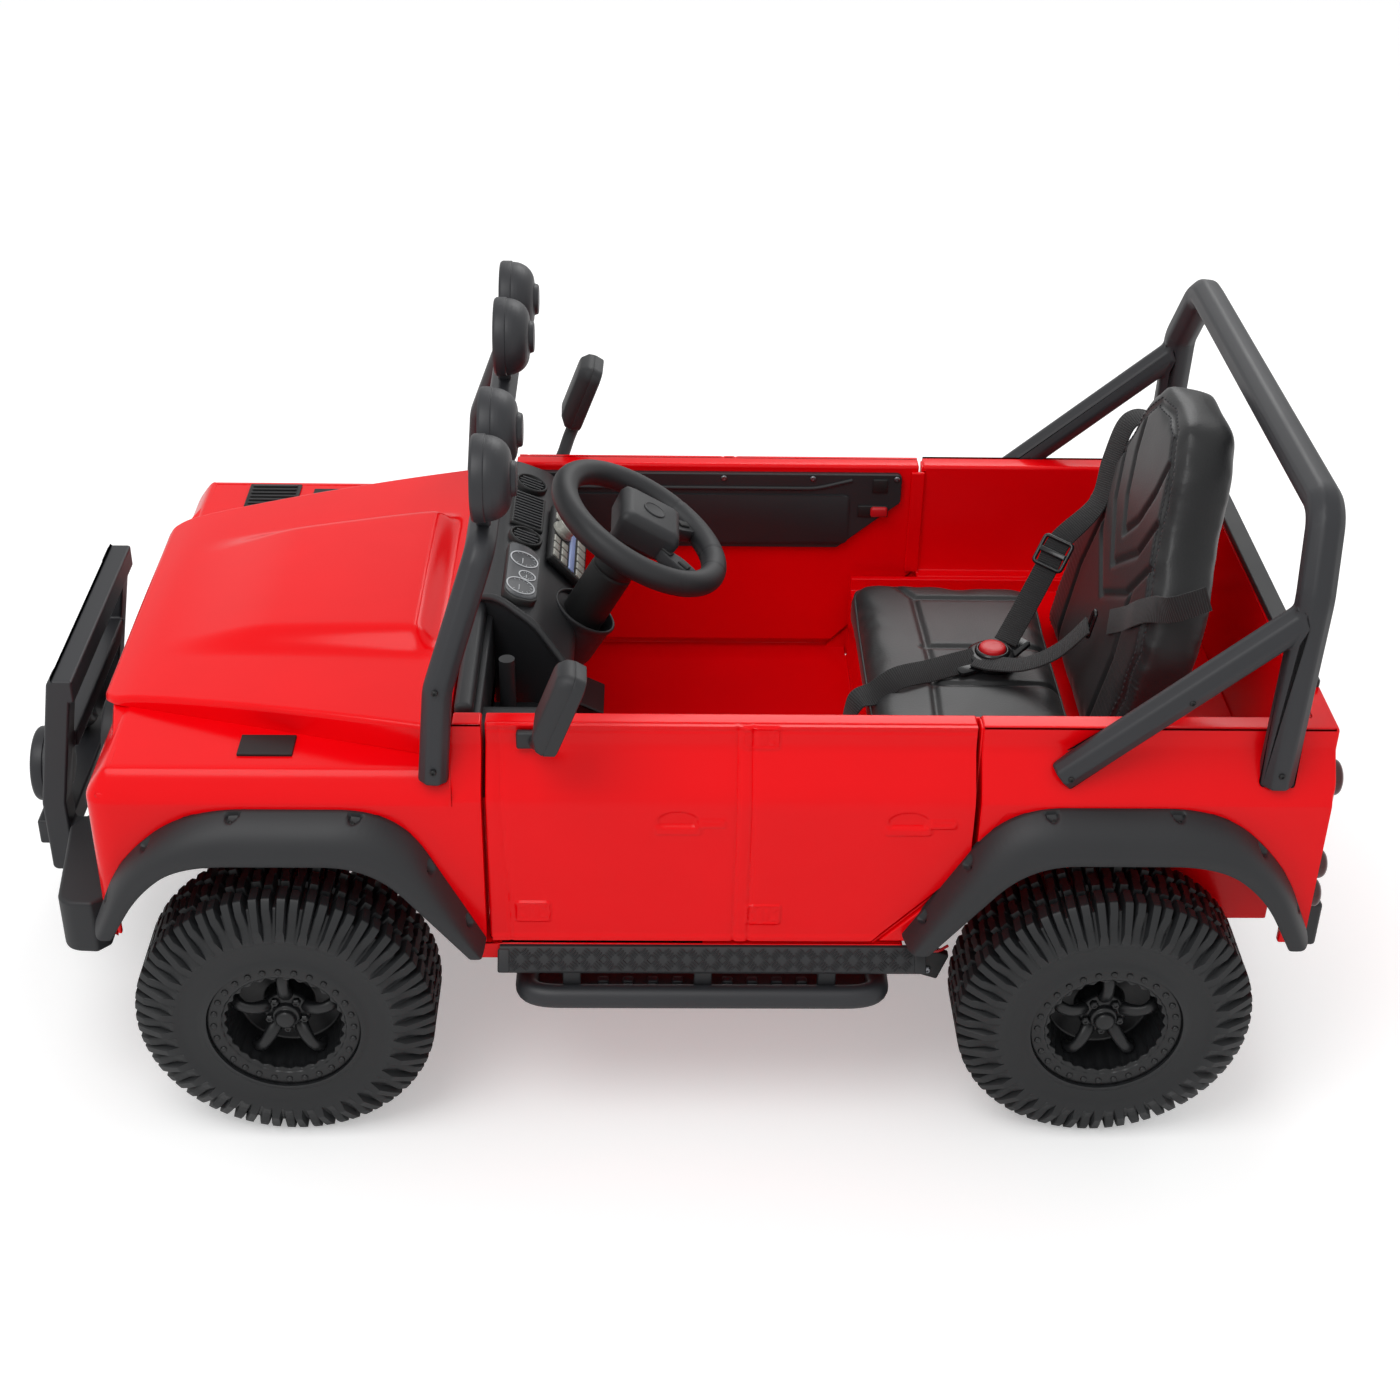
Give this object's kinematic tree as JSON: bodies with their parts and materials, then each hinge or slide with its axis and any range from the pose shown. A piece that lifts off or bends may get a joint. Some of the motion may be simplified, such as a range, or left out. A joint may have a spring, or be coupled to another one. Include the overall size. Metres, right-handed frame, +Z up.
{
  "type": "child's battery ride-on toy 4x4",
  "caption": "Open-topped battery ride-on toy off-roader for a child, with rolling lugged wheels, linked steering, opening doors, a padded seat with harness, a roll bar and a lamp bar.",
  "frame": {"origin": "on the floor under the middle of the overall length and width", "axes": "+X forward along the length, +Y to the vehicle's left, +Z up"},
  "size_m": [1.336, 0.744, 0.717],
  "materials": {
    "body_red": "gloss moulded plastic",
    "buckle_black": "moulded plastic",
    "lens_clear": "clear lens",
    "lens_red": "tinted lens",
    "panel_grey": "painted plastic",
    "rim_black": "satin moulded plastic",
    "seat_vinyl": "grained leatherette",
    "steel_black": "black painted steel",
    "trim_black": "fine grained moulded plastic",
    "tyre_rubber": "moulded rubber",
    "webbing": "woven webbing"
  },
  "bodies": {
    "body": {"battery": "trim_black", "buckle": "buckle_black", "bull_bar": "trim_black", "chassis_frame": "steel_black", "dashboard": "trim_black", "flare_front_left": "trim_black", "flare_front_right": "trim_black", "flare_rear_left": "trim_black", "flare_rear_right": "trim_black", "front_axle": "steel_black", "front_bumper": "trim_black", "front_clip": "body_red", "gearboxes": "trim_black", "grille": "trim_black", "harness": "webbing", "headlamps": "lens_clear", "hood": "body_red", "instrument_panels": "panel_grey", "pedal": "trim_black", "rear_axle": "steel_black", "rear_body": "body_red", "rear_bumper": "trim_black", "roll_bar": "trim_black", "screen_frame": "trim_black", "seat_back": "seat_vinyl", "seat_base": "seat_vinyl", "spot_lamps": "trim_black", "step_left": "trim_black", "step_right": "trim_black", "tail_lamps": "lens_red", "tailgate_rail": "trim_black", "tub": "body_red", "wing_vents": "trim_black"},
    "left_door": {"door_left": "body_red", "door_card_left": "trim_black", "mirror_left": "trim_black"},
    "right_door": {"door_right": "body_red", "door_card_right": "trim_black", "mirror_right": "trim_black"},
    "steering": {"steering_wheel": "trim_black", "steering_column": "steel_black"},
    "left_knuckle": {"knuckle_left": "steel_black"},
    "right_knuckle": {"knuckle_right": "steel_black"},
    "steering_link": {"tie_rod": "steel_black"},
    "front_left_wheel": {"tyre_front_left": "tyre_rubber", "rim_front_left": "rim_black"},
    "front_right_wheel": {"tyre_front_right": "tyre_rubber", "rim_front_right": "rim_black"},
    "rear_left_wheel": {"tyre_rear_left": "tyre_rubber", "rim_rear_left": "rim_black"},
    "rear_right_wheel": {"tyre_rear_right": "tyre_rubber", "rim_rear_right": "rim_black"}
  },
  "joints": [
    {"name": "steering_turn", "type": "hinge", "parent": "body", "child": "steering", "pos_m": [0.024, 0, 0.512], "axis": [-0.5, 0, 0.866], "range_deg": [-40, 40]},
    {"name": "left_knuckle_turn", "type": "hinge", "parent": "body", "child": "left_knuckle", "pos_m": [0.372, 0.232, 0.148], "axis": [0, 0, 1], "range_deg": [-20, 20]},
    {"name": "right_knuckle_turn", "type": "hinge", "parent": "body", "child": "right_knuckle", "pos_m": [0.372, -0.232, 0.148], "axis": [0, 0, 1], "range_deg": [-20, 20]},
    {"name": "link_turn", "type": "hinge", "parent": "left_knuckle", "child": "steering_link", "pos_m": [0.306, 0.232, 0.128], "axis": [0, 0, 1], "range_deg": [-20, 20]},
    {"name": "left_door_open", "type": "hinge", "parent": "body", "child": "left_door", "pos_m": [0.165, 0.315, 0.214], "axis": [0, 0, -1], "range_deg": [0, 65]},
    {"name": "right_door_open", "type": "hinge", "parent": "body", "child": "right_door", "pos_m": [0.165, -0.315, 0.214], "axis": [0, 0, 1], "range_deg": [0, 65]},
    {"name": "front_left_wheel_spin", "type": "hinge", "parent": "left_knuckle", "child": "front_left_wheel", "pos_m": [0.372, 0.317, 0.148], "axis": [0, 1, 0], "continuous": true},
    {"name": "front_right_wheel_spin", "type": "hinge", "parent": "right_knuckle", "child": "front_right_wheel", "pos_m": [0.372, -0.317, 0.148], "axis": [0, 1, 0], "continuous": true},
    {"name": "rear_left_wheel_spin", "type": "hinge", "parent": "body", "child": "rear_left_wheel", "pos_m": [-0.444, 0.317, 0.148], "axis": [0, 1, 0], "continuous": true},
    {"name": "rear_right_wheel_spin", "type": "hinge", "parent": "body", "child": "rear_right_wheel", "pos_m": [-0.444, -0.317, 0.148], "axis": [0, 1, 0], "continuous": true}
  ],
  "couplings": [
    {"joint": "left_knuckle_turn", "follows": "steering_turn", "ratio": 0.5},
    {"joint": "right_knuckle_turn", "follows": "steering_turn", "ratio": 0.5},
    {"joint": "link_turn", "follows": "steering_turn", "ratio": -0.5}
  ]
}
